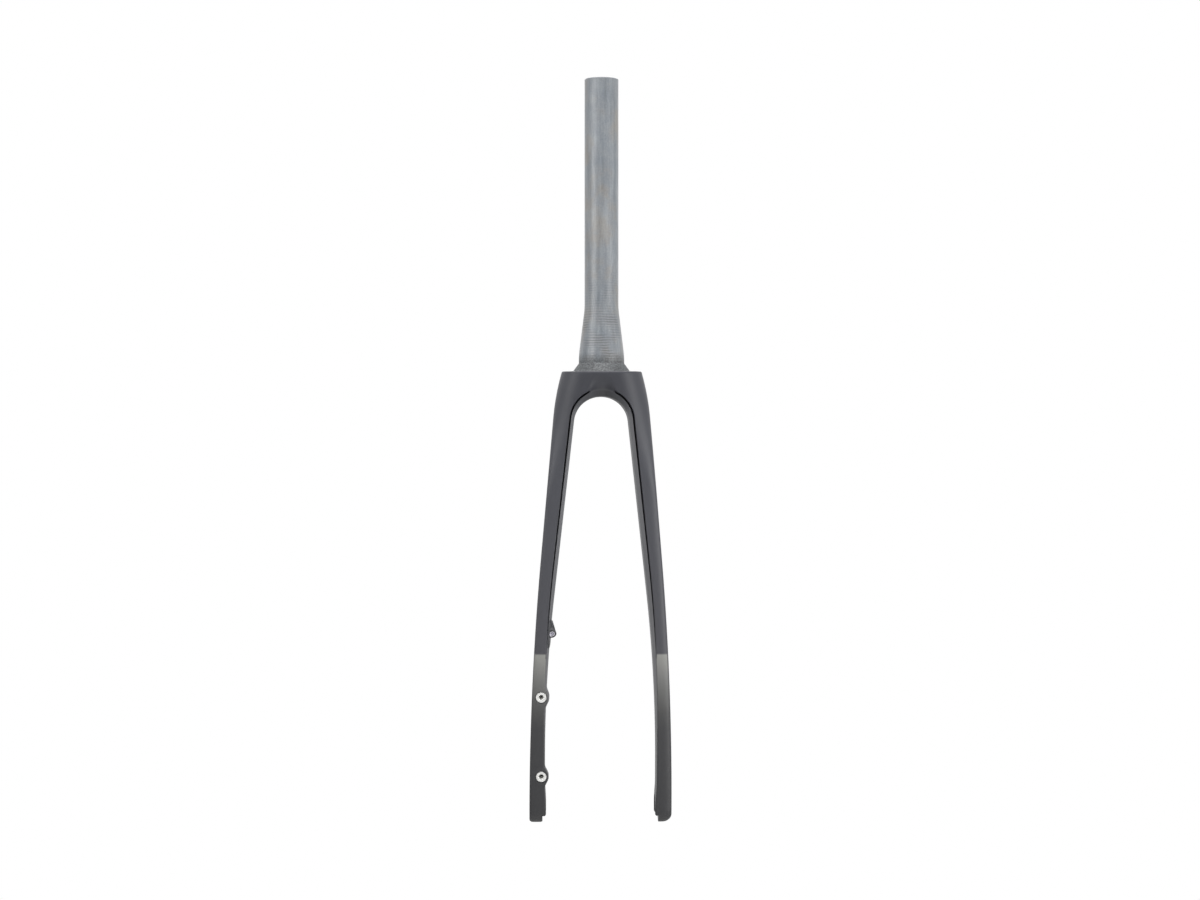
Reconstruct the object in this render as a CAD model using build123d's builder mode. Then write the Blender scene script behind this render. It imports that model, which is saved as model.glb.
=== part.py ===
from build123d import *
import os
from collections import namedtuple
from math import asin, atan, atan2, cos, hypot, pi, radians, sin, sqrt, tan

# Rigid carbon fork for a disc brake wheel, in millimetres. The origin lies on the steerer axis, in the
# crown's top plane: +Z points up the steerer, +Y forward and +X to the rider's right.

# Fork geometry
axle_to_crown = 374.0
rake = 45.0
hub_width = 100.0
axle_diameter = 12.0
axle_clearance = 0.1

# Steerer tube
steerer_length = 247.5
steerer_diameter = 28.6
steerer_wall = 2.8
steerer_base_diameter = 38.4
steerer_base_wall = 4.2
taper_top = 53.6
taper_bottom = 13.9
taper_blend_radius = 80.0
seat_height = 7.2
seat_angle = 36.0
steerer_rim_chamfer = 0.4
spigot_diameter = 34.0
spigot_depth = 11.0

# Crown and blades
crown_width = 67.2
crown_depth = 57.0
crown_corner_radius = 22.0
crown_corner_spread = 0.20
crown_corner_sweep = 0.096
crown_edge_chamfer = 1.2
shoulder_half_width = 39.15
shoulder_drop = 20.0
shoulder_radius = 200.0
outer_bend_drop = 276.7
outer_bend_radius = 2040.0
dropout_radius = 13.4
dropout_thickness = 11.2
left_edge_bevel = 1.8
right_edge_bevel = 3.2

# Wheel gap between the blades, flared towards the rear
arch_radius = 23.3
arch_drop = 20.5
side_flare = 3.2
crown_lift = 5.0
foot_flare = 0.4
blade_bend_radius = 1300.0
middle_bend_rise = 112.0
face_bend_rise = 139.0
gap_overrun = 0.5
gap_edge_bevel = 1.2

# Crease that parts each blade's rear face from its inner side
crease_outer_width = 0.8
crease_inner_width = 0.5
crease_depth = 8.0
crease_start_angle = 20.0
crease_shoulder_angle = 50.0
crease_end_drop = 245.0

# Hub pocket on the inner face of each dropout
lip_height = 2.2
hub_cap_diameter = 21.0
lip_end_height = 6.5
axle_head_diameter = 20.0
axle_head_depth = 0.8

# Threaded insert in the right dropout
thread_insert_diameter = 18.0
thread_insert_length = 9.6
axle_thread_diameter = 10.9

# Brake mount on the rear of the left blade
mount_spacing = 70.0
mount_rise = 27.8
mount_inset = 10.2
boss_diameter = 13.2
boss_length = 10.0
boss_taper_length = 9.0
boss_taper_angle = 30.0
boss_outer_reach = 5.1
insert_diameter = 9.2
insert_length = 12.0
insert_thread_diameter = 4.2
insert_thread_depth = 10.5
insert_mouth_diameter = 5.4
rim_gap = 0.4
rim_gap_depth = 1.0

# Brake hose path inside the left blade
hose_bore = 5.6
entry_drop = 58.0
entry_offset = 32.0
entry_corner_drop = 87.0
exit_corner_drop = 203.0
exit_drop = 222.8
exit_inset = 9.0
exit_stand = 2.0
mouth_back_lean = 0.65
guide_wall = 1.2
flange_length = 25.0
flange_width = 9.0
flange_thickness = 1.6
flange_sink = 0.9

bond_gap = 0.05
overrun = 5.0

os.makedirs("parts", exist_ok=True)

dropout_half_width = hub_width / 2 + dropout_thickness
lip_half_width = hub_width / 2 - lip_height
mount_offset = dropout_half_width - mount_inset

# In side view the rear and front faces are straight and run tangent to the round dropout.
rear_lean = atan2(rake + crown_depth / 2, axle_to_crown) - asin(
    dropout_radius / hypot(rake + crown_depth / 2, axle_to_crown)
)
front_lean = atan2(rake - crown_depth / 2, axle_to_crown) + asin(
    dropout_radius / hypot(rake - crown_depth / 2, axle_to_crown)
)
dropout_lean = (rear_lean + front_lean) / 2
rear_slope = tan(rear_lean)
front_slope = tan(front_lean)
middle_slope = (rear_slope + front_slope) / 2
crease_slope = rear_slope - crease_depth / crease_end_drop


def rear_reach(drop):
    return -crown_depth / 2 + rear_slope * drop


def front_reach(drop):
    return crown_depth / 2 + front_slope * drop


def dropout_point(angle):
    # A point on the round dropout's outline, at an angle from straight back towards straight down.
    return (rake - dropout_radius * cos(angle), -axle_to_crown - dropout_radius * sin(angle))


def leaning_plane(forward, slope):
    # A plane whose Y axis runs up the blades and whose normal points backward.
    lean = atan(slope)
    return Plane((0, forward, 0), x_dir=(1, 0, 0), z_dir=(0, -cos(lean), -sin(lean)))


rear_plane = leaning_plane(-crown_depth / 2, rear_slope)
crease_plane = leaning_plane(-crown_depth / 2 + crease_depth, crease_slope)
lower_mount = -(axle_to_crown - mount_rise) / cos(rear_lean)
mount_faces = [
    Plane(rear_plane.location * Pos(-mount_offset, up))
    for up in (lower_mount, lower_mount + mount_spacing)
]


# Wheel gap outline on a leaning plane: a round arch, then on each side a splayed line, tangent to the arch,
# that bends to run straight down at the dropout.
GapOutline = namedtuple("GapOutline", "radius centre apex arch_end bend_start bend_end foot")


def gap_outline(flare, lift, foot_shift, bend_rise):
    radius = arch_radius + flare
    apex_drop = arch_drop - lift
    foot_half = lip_half_width + foot_shift
    bend_drop = axle_to_crown - bend_rise
    straight_drop = bend_drop - apex_drop - radius
    splay = atan2(foot_half, straight_drop) - asin(radius / hypot(foot_half, straight_drop))
    arch_end_drop = apex_drop + radius - radius * sin(splay)
    bend_half = blade_bend_radius * tan(splay / 2)
    return GapOutline(
        radius=radius,
        centre=-apex_drop - radius,
        apex=(0, -apex_drop),
        arch_end=(radius * cos(splay), -arch_end_drop),
        bend_start=(foot_half - bend_half * sin(splay), -bend_drop + bend_half * cos(splay)),
        bend_end=(foot_half, -bend_drop - bend_half),
        foot=(foot_half, -axle_to_crown - 2 * dropout_radius),
    )


def mirrored(point):
    return (-point[0], point[1])


def on_arch(outline, angle):
    return (outline.radius * sin(angle), outline.centre + outline.radius * cos(angle))


def side_edges(edges, side):
    # The edges that run along the outer side of one blade, without those that cross from face to face.
    along = edges.filter_by(Axis.Y, reverse=True)
    return along.filter_by(lambda edge: (edge @ 0.5).X * side > overrun and abs((edge % 0.5).X) < 0.5)


def left_blade_hits(shell, forward, drop):
    # Where a line across the fork meets the left blade's inner and outer faces, with each face's normal.
    hits = shell.find_intersection_points(Axis((0, forward, -drop), (-1, 0, 0)))
    return [hit for hit in hits if hit[0].X < 0]


def blade_centre(shell, drop):
    inner, outer = left_blade_hits(shell, (rear_reach(drop) + front_reach(drop)) / 2, drop)
    return (inner[0] + outer[0]) / 2


# Steerer tube: a turned profile with a conical bearing seat, and a spigot that is bonded in the crown.
steerer_radius = steerer_diameter / 2
base_radius = steerer_base_diameter / 2
seat_radius = base_radius + seat_height * tan(radians(seat_angle))
bore_radius = steerer_radius - steerer_wall
base_bore_radius = base_radius - steerer_base_wall

with BuildPart() as steerer_tube:
    with BuildSketch(Plane.XZ):
        with BuildLine():
            FilletPolyline(
                (steerer_radius, steerer_length),
                (steerer_radius, taper_top),
                (base_radius, taper_bottom),
                (base_radius, seat_height),
                radius=taper_blend_radius,
            )
            Polyline(
                (base_radius, seat_height),
                (seat_radius, 0),
                (spigot_diameter / 2, 0),
                (spigot_diameter / 2, -spigot_depth),
                (base_bore_radius, -spigot_depth),
                (base_bore_radius, taper_bottom),
                (bore_radius, taper_bottom),
                (bore_radius, steerer_length),
                (steerer_radius, steerer_length),
            )
        make_face()
    revolve(axis=Axis.Z)
    chamfer(steerer_tube.faces().sort_by(Axis.Z)[-1].edges(), steerer_rim_chamfer)
steerer_tube.part.label = "steerer_tube"
export_step(steerer_tube.part, "parts/steerer_tube.step")

# Wheel gap: straight, and flared towards the rear face.
face_outline = gap_outline(side_flare, crown_lift, foot_flare, face_bend_rise)
middle_outline = gap_outline(0, 0, 0, middle_bend_rise)
gap_sections = [
    (leaning_plane(-crown_depth / 2 - gap_overrun, rear_slope), face_outline),
    (leaning_plane(-crown_depth / 6, (2 * rear_slope + front_slope) / 3), middle_outline),
    (leaning_plane(crown_depth / 2 + gap_overrun, front_slope), middle_outline),
]

with BuildPart() as wheel_gap:
    for gap_plane, gap in gap_sections:
        with BuildSketch(gap_plane):
            with BuildLine():
                Line(mirrored(gap.foot), mirrored(gap.bend_end))
                RadiusArc(mirrored(gap.bend_end), mirrored(gap.bend_start), blade_bend_radius)
                Line(mirrored(gap.bend_start), mirrored(gap.arch_end))
                ThreePointArc(mirrored(gap.arch_end), gap.apex, gap.arch_end)
                Line(gap.arch_end, gap.bend_start)
                RadiusArc(gap.bend_start, gap.bend_end, blade_bend_radius)
                Line(gap.bend_end, gap.foot)
                Line(gap.foot, mirrored(gap.foot))
            make_face()
    loft(ruled=True)

# The crease follows the rear edge of the wheel gap, between two outlines on either side of it, and runs to a
# point at both ends.
outer_crease = gap_outline(
    side_flare + crease_outer_width,
    crown_lift + crease_outer_width,
    foot_flare + crease_outer_width,
    face_bend_rise,
)
inner_crease = gap_outline(
    side_flare - crease_inner_width,
    crown_lift - crease_inner_width,
    foot_flare - crease_inner_width,
    face_bend_rise,
)
crease_start = on_arch(face_outline, radians(crease_start_angle))
bend_foot, bend_level = face_outline.bend_end
bend_run = -bend_level - crease_end_drop
crease_end = (bend_foot - blade_bend_radius + sqrt(blade_bend_radius**2 - bend_run**2), -crease_end_drop)

# The shoulder's rounding leaves room on the crown's short side for the bevel of its top edge.
shoulder_reach = shoulder_half_width - crown_width / 2
shoulder_turn = atan2(shoulder_reach, shoulder_drop) - atan2(
    dropout_half_width - shoulder_half_width, outer_bend_drop - shoulder_drop
)
shoulder_room = hypot(shoulder_reach, shoulder_drop) - 1.5 * crown_edge_chamfer
shoulder_rounding = min(shoulder_radius, shoulder_room / tan(abs(shoulder_turn) / 2))

with BuildPart() as crown_and_blades:
    # Outline from behind, cut to the outline from the side.
    outline_foot = -axle_to_crown - 2 * dropout_radius
    with BuildSketch(Plane.XZ):
        with BuildLine():
            FilletPolyline(
                (crown_width / 2, 0),
                (shoulder_half_width, -shoulder_drop),
                (dropout_half_width, -outer_bend_drop),
                (dropout_half_width, outline_foot),
                radius=(shoulder_rounding, outer_bend_radius),
            )
            Line((dropout_half_width, outline_foot), (0, outline_foot))
            Line((crown_width / 2, 0), (0, 0))
            mirror(about=Plane.YZ)
        make_face()
    extrude(amount=crown_depth + rake, both=True)
    with BuildSketch(Plane.YZ):
        with BuildLine():
            Polyline(
                dropout_point(rear_lean),
                (-crown_depth / 2, 0),
                (crown_depth / 2, 0),
                dropout_point(pi + front_lean),
            )
            ThreePointArc(
                dropout_point(rear_lean),
                dropout_point(pi / 2 + dropout_lean),
                dropout_point(pi + front_lean),
            )
        make_face()
    extrude(amount=dropout_half_width + overrun, both=True, mode=Mode.INTERSECT)

    # Bevelled outer edges, all round each blade and dropout.
    for side, bevel in ((-1, left_edge_bevel), (1, right_edge_bevel)):
        chamfer(side_edges(crown_and_blades.edges(), side), bevel)

    add(wheel_gap.part, mode=Mode.SUBTRACT)
    # The bevel of the gap's front edges runs on round the dropouts and up the rear edges.
    gap_edges = crown_and_blades.edges(Select.NEW)
    front_edges = gap_edges.filter_by(lambda edge: (edge @ 0.5).Y > front_reach(-(edge @ 0.5).Z) - bond_gap)
    chamfer(front_edges, gap_edge_bevel)

    # Round corners of the crown, which run out into the edges of the blades.
    for side in (-1, 1):
        corner_plane = Plane(
            (0, 0, 0),
            x_dir=(side, 0, 0),
            z_dir=(-side * crown_corner_spread, -crown_corner_sweep, 1),
        )
        with BuildSketch(corner_plane) as section:
            with Locations((crown_width / 2, 0)):
                Rectangle(4 * dropout_half_width, crown_depth, align=(Align.MAX, Align.CENTER))
            fillet(section.vertices().group_by(Axis.X)[-1], crown_corner_radius)
        extrude(amount=2 * axle_to_crown, both=True, mode=Mode.INTERSECT)
    chamfer(crown_and_blades.faces().sort_by(Axis.Z)[-1].edges(), crown_edge_chamfer)
    blade_shell = crown_and_blades.part.shell()

    # Creases, whose floor rises to the rear face at their lower ends.
    with BuildSketch(crease_plane):
        with BuildLine():
            ThreePointArc(
                crease_start,
                on_arch(outer_crease, radians(crease_shoulder_angle)),
                outer_crease.arch_end,
            )
            Line(outer_crease.arch_end, outer_crease.bend_start)
            RadiusArc(outer_crease.bend_start, crease_end, blade_bend_radius)
            RadiusArc(crease_end, inner_crease.bend_start, -blade_bend_radius)
            Line(inner_crease.bend_start, inner_crease.arch_end)
            ThreePointArc(
                inner_crease.arch_end,
                on_arch(inner_crease, radians(crease_shoulder_angle)),
                crease_start,
            )
        make_face()
        mirror(about=Plane.YZ)
    extrude(amount=crease_depth + overrun, mode=Mode.SUBTRACT)

    # Brake bosses, level with the rear face, each with a tapered end that runs out into the blade, and the
    # seats of their inserts.
    for depth, amount, taper in ((0, boss_length, 0), (boss_length, boss_taper_length, boss_taper_angle)):
        with BuildSketch(*[face.offset(-depth) for face in mount_faces]):
            Circle(boss_diameter / 2)
            with Locations((-boss_outer_reach, 0)):
                Rectangle(boss_diameter, boss_diameter, align=(Align.MAX, Align.CENTER), mode=Mode.SUBTRACT)
        extrude(amount=-amount, taper=taper)
    with BuildSketch(*mount_faces):
        Circle(insert_diameter / 2 + bond_gap)
    extrude(amount=-insert_length, mode=Mode.SUBTRACT)
    with BuildSketch(*mount_faces):
        Circle(insert_diameter / 2 + rim_gap)
    extrude(amount=-rim_gap_depth, mode=Mode.SUBTRACT)

    # Hub pockets: a round seat for the hub's end cap, open at the bottom, between two lips.
    for side in (-1, 1):
        with BuildSketch(Plane.YZ.offset(side * hub_width / 2)):
            with Locations((rake, -axle_to_crown)):
                Circle(hub_cap_diameter / 2)
                Rectangle(hub_cap_diameter, 2 * dropout_radius, align=(Align.CENTER, Align.MAX))
            with Locations((rake, -axle_to_crown - dropout_radius + lip_end_height)):
                Rectangle(4 * dropout_radius, 2 * lip_end_height, align=(Align.CENTER, Align.MAX))
        extrude(amount=-side * (lip_height + overrun), mode=Mode.SUBTRACT)

    # Axle hole through both dropouts, the axle head's seat on the left and the insert's seat on the right.
    with BuildSketch(Plane.YZ):
        with Locations((rake, -axle_to_crown)):
            Circle((axle_diameter + axle_clearance) / 2)
    extrude(amount=dropout_half_width + overrun, both=True, mode=Mode.SUBTRACT)
    with BuildSketch(Plane.YZ.offset(axle_head_depth - dropout_half_width)):
        with Locations((rake, -axle_to_crown)):
            Circle(axle_head_diameter / 2)
    extrude(amount=-axle_head_depth - overrun, mode=Mode.SUBTRACT)
    with BuildSketch(Plane.YZ.offset(hub_width / 2)):
        with Locations((rake, -axle_to_crown)):
            Circle(thread_insert_diameter / 2 + bond_gap)
    extrude(amount=thread_insert_length, mode=Mode.SUBTRACT)

    # Socket for the steerer's spigot.
    with BuildSketch(Plane.XY):
        Circle(spigot_diameter / 2 + bond_gap)
    extrude(amount=-spigot_depth, mode=Mode.SUBTRACT)

    # Hose passage through the left blade, from the front of the crown to the inner face.
    entry_line = Axis((-entry_offset, 0, -entry_drop), (0, 1, 0))
    entry_point, entry_normal = blade_shell.find_intersection_points(entry_line)[-1]
    exit_hits = left_blade_hits(blade_shell, rear_reach(exit_drop) + exit_inset, exit_drop)
    exit_point, exit_normal = exit_hits[0]
    mouth = exit_point + exit_normal * exit_stand
    entry_corner = blade_centre(blade_shell, entry_corner_drop)
    exit_corner = blade_centre(blade_shell, exit_corner_drop)
    entry_direction = (entry_corner - entry_point).normalized()
    exit_direction = (mouth - exit_corner).normalized()
    passage = [entry_point - entry_direction * overrun, entry_corner, exit_corner, mouth]
    for run_start, run_end in zip(passage, passage[1:]):
        with BuildSketch(Plane(run_start, z_dir=run_end - run_start)):
            Circle(hose_bore / 2)
        extrude(amount=(run_end - run_start).length, mode=Mode.SUBTRACT)

    # Recesses for the flanges of the grommet and the guide.
    entry_plane = Plane(entry_point, x_dir=(0, middle_slope, -1), z_dir=entry_normal).offset(-flange_sink)
    exit_plane = Plane(exit_point, x_dir=(0, middle_slope, -1), z_dir=exit_normal).offset(-flange_sink)
    with BuildSketch(entry_plane, exit_plane):
        SlotOverall(flange_length + 2 * bond_gap, flange_width + 2 * bond_gap)
    extrude(amount=flange_sink + overrun, mode=Mode.SUBTRACT)
crown_and_blades.part.label = "crown_and_blades"
export_step(crown_and_blades.part, "parts/crown_and_blades.step")

# Threaded inserts of the brake mount.
with BuildPart() as brake_insert_lower:
    with BuildSketch(mount_faces[0]):
        Circle(insert_diameter / 2)
    extrude(amount=-insert_length)
    with Locations(mount_faces[0]):
        CounterSinkHole(insert_thread_diameter / 2, insert_mouth_diameter / 2, insert_thread_depth)
brake_insert_lower.part.label = "brake_insert_lower"
export_step(brake_insert_lower.part, "parts/brake_insert_lower.step")

with BuildPart() as brake_insert_upper:
    with BuildSketch(mount_faces[1]):
        Circle(insert_diameter / 2)
    extrude(amount=-insert_length)
    with Locations(mount_faces[1]):
        CounterSinkHole(insert_thread_diameter / 2, insert_mouth_diameter / 2, insert_thread_depth)
brake_insert_upper.part.label = "brake_insert_upper"
export_step(brake_insert_upper.part, "parts/brake_insert_upper.step")

# Threaded insert for the axle, flush with the floor of the right hub pocket.
with BuildPart() as axle_thread_insert:
    with BuildSketch(Plane.YZ.offset(hub_width / 2)):
        with Locations((rake, -axle_to_crown)):
            Circle(thread_insert_diameter / 2)
            Circle(axle_thread_diameter / 2, mode=Mode.SUBTRACT)
    extrude(amount=thread_insert_length)
axle_thread_insert.part.label = "axle_thread_insert"
export_step(axle_thread_insert.part, "parts/axle_thread_insert.step")

# Hose exit guide: a flanged spout whose slanted mouth faces back and down.
spout_plane = Plane(exit_corner, z_dir=exit_direction)
spout_length = (mouth - exit_corner).length + overrun

with BuildPart() as hose_exit_guide:
    with BuildSketch(spout_plane):
        Circle(hose_bore / 2 + guide_wall)
    extrude(amount=spout_length)
    split(bisect_by=exit_plane.offset(flange_thickness), keep=Keep.TOP)
    mouth_normal = exit_direction + Vector(0, -mouth_back_lean, 0)
    split(bisect_by=Plane(mouth, z_dir=mouth_normal), keep=Keep.BOTTOM)
    with BuildSketch(exit_plane):
        SlotOverall(flange_length, flange_width)
    extrude(amount=flange_thickness)
    with BuildSketch(spout_plane):
        Circle(hose_bore / 2)
    extrude(amount=spout_length, mode=Mode.SUBTRACT)
hose_exit_guide.part.label = "hose_exit_guide"
export_step(hose_exit_guide.part, "parts/hose_exit_guide.step")

# Hose entry grommet: the same flange, with a slanted hole.
with BuildPart() as hose_entry_grommet:
    with BuildSketch(entry_plane):
        SlotOverall(flange_length, flange_width)
    extrude(amount=flange_thickness)
    with BuildSketch(Plane(entry_corner, z_dir=-entry_direction)):
        Circle(hose_bore / 2)
    extrude(amount=(entry_corner - entry_point).length + 2 * overrun, mode=Mode.SUBTRACT)
hose_entry_grommet.part.label = "hose_entry_grommet"
export_step(hose_entry_grommet.part, "parts/hose_entry_grommet.step")
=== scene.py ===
# %% [markdown]
# A rigid bicycle fork, dressed for a picture
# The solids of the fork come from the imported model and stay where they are. This lesson gives them the
# surfaces that a photograph would show: a raw carbon steerer, painted blades, bright threaded inserts
# and a dark hose guide. Everything is in metres, with the origin on the steerer's axis in the crown's
# top plane, +Z up the steerer, +Y forward and +X to the rider's right. Shapes are worked out in
# millimetres.

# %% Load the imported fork
import bmesh
import bpy
import numpy as np
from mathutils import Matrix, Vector


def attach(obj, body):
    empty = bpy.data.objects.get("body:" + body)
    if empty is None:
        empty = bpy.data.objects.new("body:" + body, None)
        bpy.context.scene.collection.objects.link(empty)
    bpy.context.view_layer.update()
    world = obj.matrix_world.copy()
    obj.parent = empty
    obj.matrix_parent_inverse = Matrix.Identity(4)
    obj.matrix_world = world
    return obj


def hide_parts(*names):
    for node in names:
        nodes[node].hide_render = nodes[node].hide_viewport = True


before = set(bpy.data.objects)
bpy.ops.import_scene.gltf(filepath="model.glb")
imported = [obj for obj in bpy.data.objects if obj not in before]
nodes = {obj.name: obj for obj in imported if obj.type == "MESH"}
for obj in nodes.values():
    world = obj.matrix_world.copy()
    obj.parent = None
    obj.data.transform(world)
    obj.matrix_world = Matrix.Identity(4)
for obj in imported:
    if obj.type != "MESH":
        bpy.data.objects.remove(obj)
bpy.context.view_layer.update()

MM = 0.001
RIGHT, FORWARD, UP = (1, 0, 0), (0, 1, 0), (0, 0, 1)
print("nodes", sorted(nodes))

# %% [markdown]
# Colours and shader nodes
# Paint charts and pictures give colours as sRGB hex values, while the renderer works in linear light,
# so one function converts them. A material is a graph of nodes. One small function adds a node, sets it
# and links it, so that each material below reads as a list of what it is made of.

# %% Colour and node helpers
def linear(code):
    """sRGB hex to linear RGBA: c/12.92 below 0.04045, else ((c + 0.055)/1.055)^2.4."""
    srgb = np.array([int(code[i:i + 2], 16) for i in (0, 2, 4)]) / 255
    value = np.where(srgb <= 0.04045, srgb / 12.92, ((srgb + 0.055) / 1.055) ** 2.4)
    return (*value.tolist(), 1.0)


def add_node(tree, kind, inputs=None, stops=None, **settings):
    """Adds a node, sets its properties and ramp stops, and gives each input a value or a link."""
    made = tree.nodes.new(kind)
    for name, value in settings.items():
        setattr(made, name, value)
    for place, (position, code) in enumerate(stops or []):
        ramp = made.color_ramp.elements
        stop = ramp[place] if place < len(ramp) else ramp.new(position)
        stop.position = position
        stop.color = linear(code)
    for name, value in (inputs or {}).items():
        if isinstance(value, bpy.types.NodeSocket):
            tree.links.new(value, made.inputs[name])
        else:
            made.inputs[name].default_value = value
    return made


def new_material(name):
    """An empty node material, with its tree and its output node."""
    made = bpy.data.materials.new(name)
    made.use_nodes = True
    made.node_tree.nodes.clear()
    return made, made.node_tree, made.node_tree.nodes.new("ShaderNodeOutputMaterial")


def dress(pieces, material):
    """Gives each piece one material, in place of any that it came with."""
    for piece in pieces:
        piece.data.materials.clear()
        piece.data.materials.append(material)
    print(material.name, "nodes", len(material.node_tree.nodes), "on", [piece.name for piece in pieces])


print("dark grey", [round(c, 4) for c in linear("55565C")])

# %% [markdown]
# Surfaces from arrays
# Turned pieces and swept pieces are both grids: one parameter runs round a loop and the other along a
# path. The points of the whole grid are worked out at once as an array, and one function makes a mesh
# of any such grid, closed in either direction.

# %% Grid to mesh
def grid_object(name, points, close_rows, close_columns):
    """Quads between neighbours of a (rows, columns, 3) grid of points, wrapping round where it is closed."""
    rows, columns = points.shape[:2]
    index = np.arange(rows * columns).reshape(rows, columns)
    if close_rows:
        index = np.vstack([index, index[:1]])
    if close_columns:
        index = np.hstack([index, index[:, :1]])
    corners = [index[:-1, :-1], index[:-1, 1:], index[1:, 1:], index[1:, :-1]]
    quads = np.stack(corners, axis=-1).reshape(-1, 4)
    mesh = bpy.data.meshes.new(name)
    mesh.from_pydata(points.reshape(-1, 3).tolist(), [], quads.tolist())
    mesh.update()
    made = bpy.data.objects.new(name, mesh)
    bpy.context.scene.collection.objects.link(made)
    return made


MERGE_DISTANCE, SLIVER = 1e-6, 1e-7


def clean(piece):
    """Merges the doubled points of seams and poles, points all faces outwards and counts the open edges."""
    work = bmesh.new()
    work.from_mesh(piece.data)
    # A large face would vanish whole if two of its points merged, so it is split into triangles first.
    bmesh.ops.triangulate(work, faces=[face for face in work.faces if len(face.verts) > 4])
    bmesh.ops.remove_doubles(work, verts=work.verts, dist=MERGE_DISTANCE)
    bmesh.ops.dissolve_degenerate(work, dist=SLIVER, edges=work.edges)
    bmesh.ops.recalc_face_normals(work, faces=work.faces)
    open_edges = sum(len(edge.link_faces) != 2 for edge in work.edges)
    work.to_mesh(piece.data)
    work.free()
    return open_edges


def finish_piece(piece, smooth_angle, node=None):
    """Cleans a piece, shades it smooth up to an angle in degrees and puts it on the fork.

    A piece that stands for a solid takes that node's place.
    """
    open_edges = clean(piece)
    piece.data.shade_smooth()
    piece.data.set_sharp_from_angle(angle=np.radians(smooth_angle))
    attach(piece, "root")
    if node:
        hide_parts(node)
    print(piece.name, "faces", len(piece.data.polygons), "open edges", open_edges)
    return piece


print("points nearer than", MERGE_DISTANCE / MM, "mm are merged")

# %% [markdown]
# Steerer tube
# The steerer is a moulded carbon tube that widens to a conical bearing seat. It could be a cylinder
# with edge loops scaled by hand. A profile of radius against height, turned about the axis, gives the
# same taper and its soft blends exactly, and stays round at any distance.

# %% Steerer profile
STEERER_TOP, STEERER_RADIUS, BASE_RADIUS = 247.5, 14.3, 19.2
TAPER_TOP, TAPER_BOTTOM, BLEND_RADIUS = 53.6, 13.9, 80.0


def blended_ramp(height):
    """Radius of the taper: a straight cone, with an arc of the blend radius at each straight tube."""
    rise = BASE_RADIUS - STEERER_RADIUS
    angle = np.arctan2(rise, TAPER_TOP - TAPER_BOTTOM)
    reach = BLEND_RADIUS * np.tan(angle / 2)

    def off_the_tube(down):
        near = np.clip(down, 0, BLEND_RADIUS * np.sin(angle))
        rounded = BLEND_RADIUS - np.sqrt(BLEND_RADIUS**2 - near**2)
        return rounded + (down - near).clip(0) * np.tan(angle)

    upper = STEERER_RADIUS + off_the_tube(TAPER_TOP + reach - height)
    lower = BASE_RADIUS - off_the_tube(height - TAPER_BOTTOM + reach)
    return np.where(height > (TAPER_TOP + TAPER_BOTTOM) / 2, upper, lower)


def turned(profile, segments, centre, axis, start):
    """Each (radius, height) of the profile, turned about an axis.

    At angle a it lies at centre + height axis + radius (cos a start + sin a side).
    """
    profile = np.array(profile, dtype=float)
    axis, start = np.array(axis) / np.linalg.norm(axis), np.array(start)
    side = np.cross(axis, start)
    angle = np.linspace(0, 2 * np.pi, segments, endpoint=False)[None, :, None]
    radius, height = profile[:, 0, None, None], profile[:, 1, None, None]
    return np.array(centre) + height * axis + radius * (np.cos(angle) * start + np.sin(angle) * side)


print("radius at the top, mid taper and base", blended_ramp(np.array([200.0, 33.75, 8.0])).round(2))

# %% [markdown]
# Steerer tube: turning it
# The profile goes once round the tube's wall: down the outside, over the bearing seat and the spigot
# that is bonded in the crown, and up the bore. Two shells, one inside the other, would leave a gap at
# the rim; one closed profile can't. The taper gets close rows, because that is where the light bends.

# %% Turn the steerer
SEAT_HEIGHT, SEAT_RADIUS, SPIGOT_RADIUS, SPIGOT_DEPTH = 7.2, 24.43, 17.0, 11.0
BORE_RADIUS, BASE_BORE_RADIUS, RIM_BEVEL = 11.5, 15.0, 0.4
STRAIGHT_END, TAPER_START = 60, 59
straight_heights = np.linspace(STEERER_TOP - RIM_BEVEL, STRAIGHT_END, 12)
outer_heights = np.concatenate([straight_heights, np.linspace(TAPER_START, SEAT_HEIGHT, 60)])
outer_wall = np.stack([blended_ramp(outer_heights), outer_heights], axis=1)
steerer_profile = np.concatenate([
    [(BORE_RADIUS + RIM_BEVEL, STEERER_TOP), (STEERER_RADIUS - RIM_BEVEL, STEERER_TOP)],
    outer_wall,
    [(SEAT_RADIUS, 0), (SPIGOT_RADIUS, 0), (SPIGOT_RADIUS, -SPIGOT_DEPTH), (BASE_BORE_RADIUS, -SPIGOT_DEPTH)],
    [(BASE_BORE_RADIUS, TAPER_BOTTOM), (BORE_RADIUS, TAPER_BOTTOM), (BORE_RADIUS, STEERER_TOP - RIM_BEVEL)],
])
steerer_points = turned(steerer_profile, 192, (0, 0, 0), UP, RIGHT)
steerer = grid_object("steerer_carbon", steerer_points * MM, close_rows=True, close_columns=True)
finish_piece(steerer, smooth_angle=28, node="steerer_tube")

# %% [markdown]
# Crown and blades: the outline from behind
# Seen from behind, the fork is an upside-down U. Its outer edge leaves the crown at a slant, turns over
# a shoulder and bends upright at the dropouts; its inner edge is a round arch with two legs that splay
# and bend in the same way. Such bends could be drawn by hand as curves. Two straight lines joined by a
# parabola need only a place, a change of slope and a reach, and give the width at every height in one
# array.

# %% Outline functions
CROWN_HALF, SHOULDER_SLOPE, SHOULDER_DROP, SHOULDER_REACH = 33.6, 0.2775, 20.0, 18.2
BLADE_SLOPE, FOOT_BEND_DROP, FOOT_BEND_REACH = 0.0875, 272.0, 110.0
AXLE_DROP, DROPOUT_RADIUS, RAKE = 374.0, 13.4, 45.0
TIP_DROP = AXLE_DROP + DROPOUT_RADIUS
GAP_BEND_REACH = 72.0


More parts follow.
